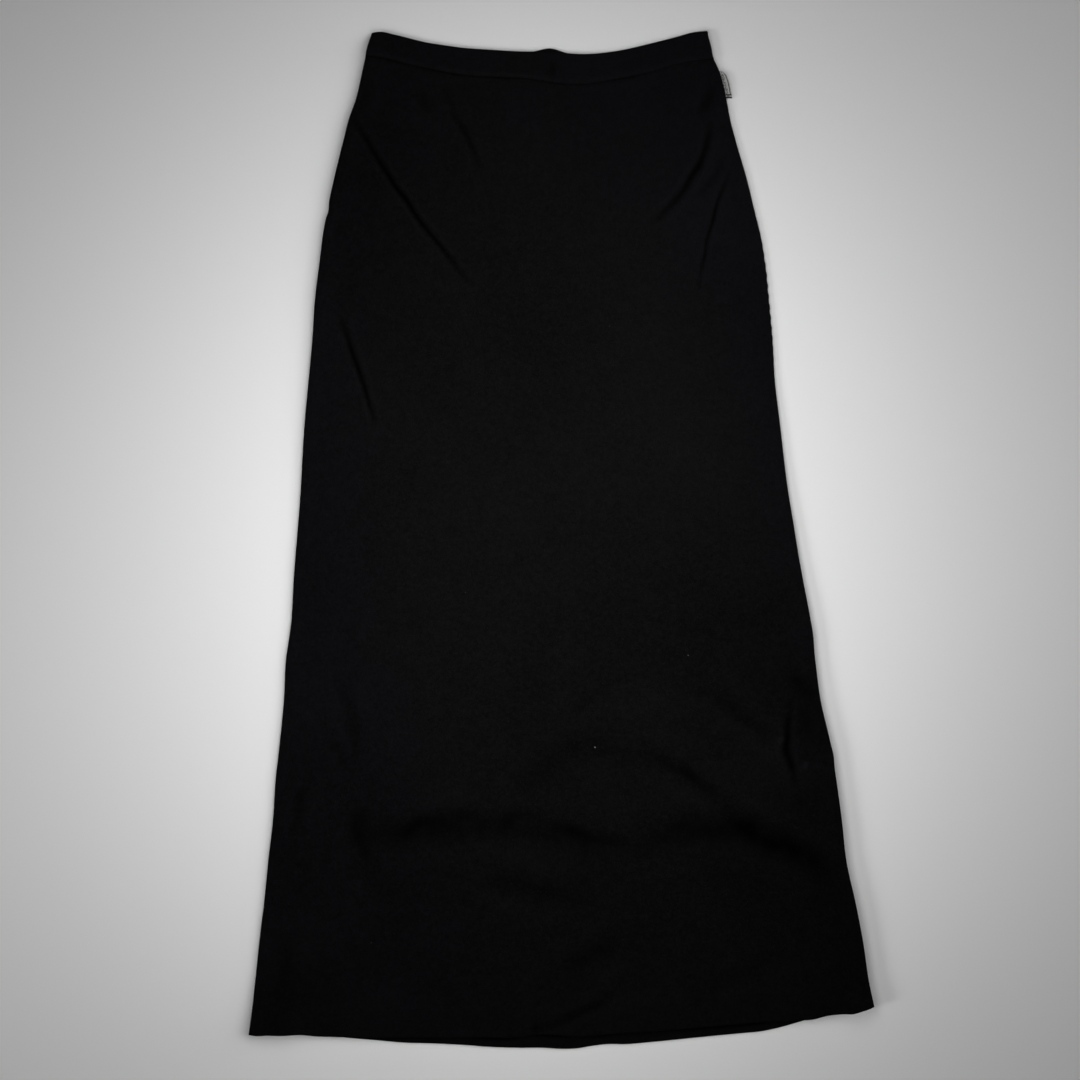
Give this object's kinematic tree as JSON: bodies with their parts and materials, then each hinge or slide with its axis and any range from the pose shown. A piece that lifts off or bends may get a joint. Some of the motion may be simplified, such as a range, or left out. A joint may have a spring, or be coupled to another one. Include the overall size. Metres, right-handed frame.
{
  "type": "maxi skirt",
  "caption": "Long straight-to-flared women's skirt laid flat on its back, with a plain faced waistband, turned-up hem and a flag label in the side seam.",
  "frame": {"origin": "on the surface that the skirt lies on, under the middle of its bounding box", "axes": "+X across the skirt towards its right edge as seen from above, +Y up it from the hem to the waist, +Z off the surface"},
  "size_m": [0.625, 1.0167, 0.0071],
  "materials": {
    "panel_knit": "black matte crepe knit, fine pebbled face",
    "band_knit": "black matte crepe knit, folded and pressed",
    "label_satin": "grey woven satin ribbon, plain"
  },
  "bodies": {
    "root": {"front_panel": "panel_knit", "back_panel": "panel_knit", "waistband_front": "band_knit", "waistband_back": "band_knit", "side_label": "label_satin"}
  },
  "joints": []
}
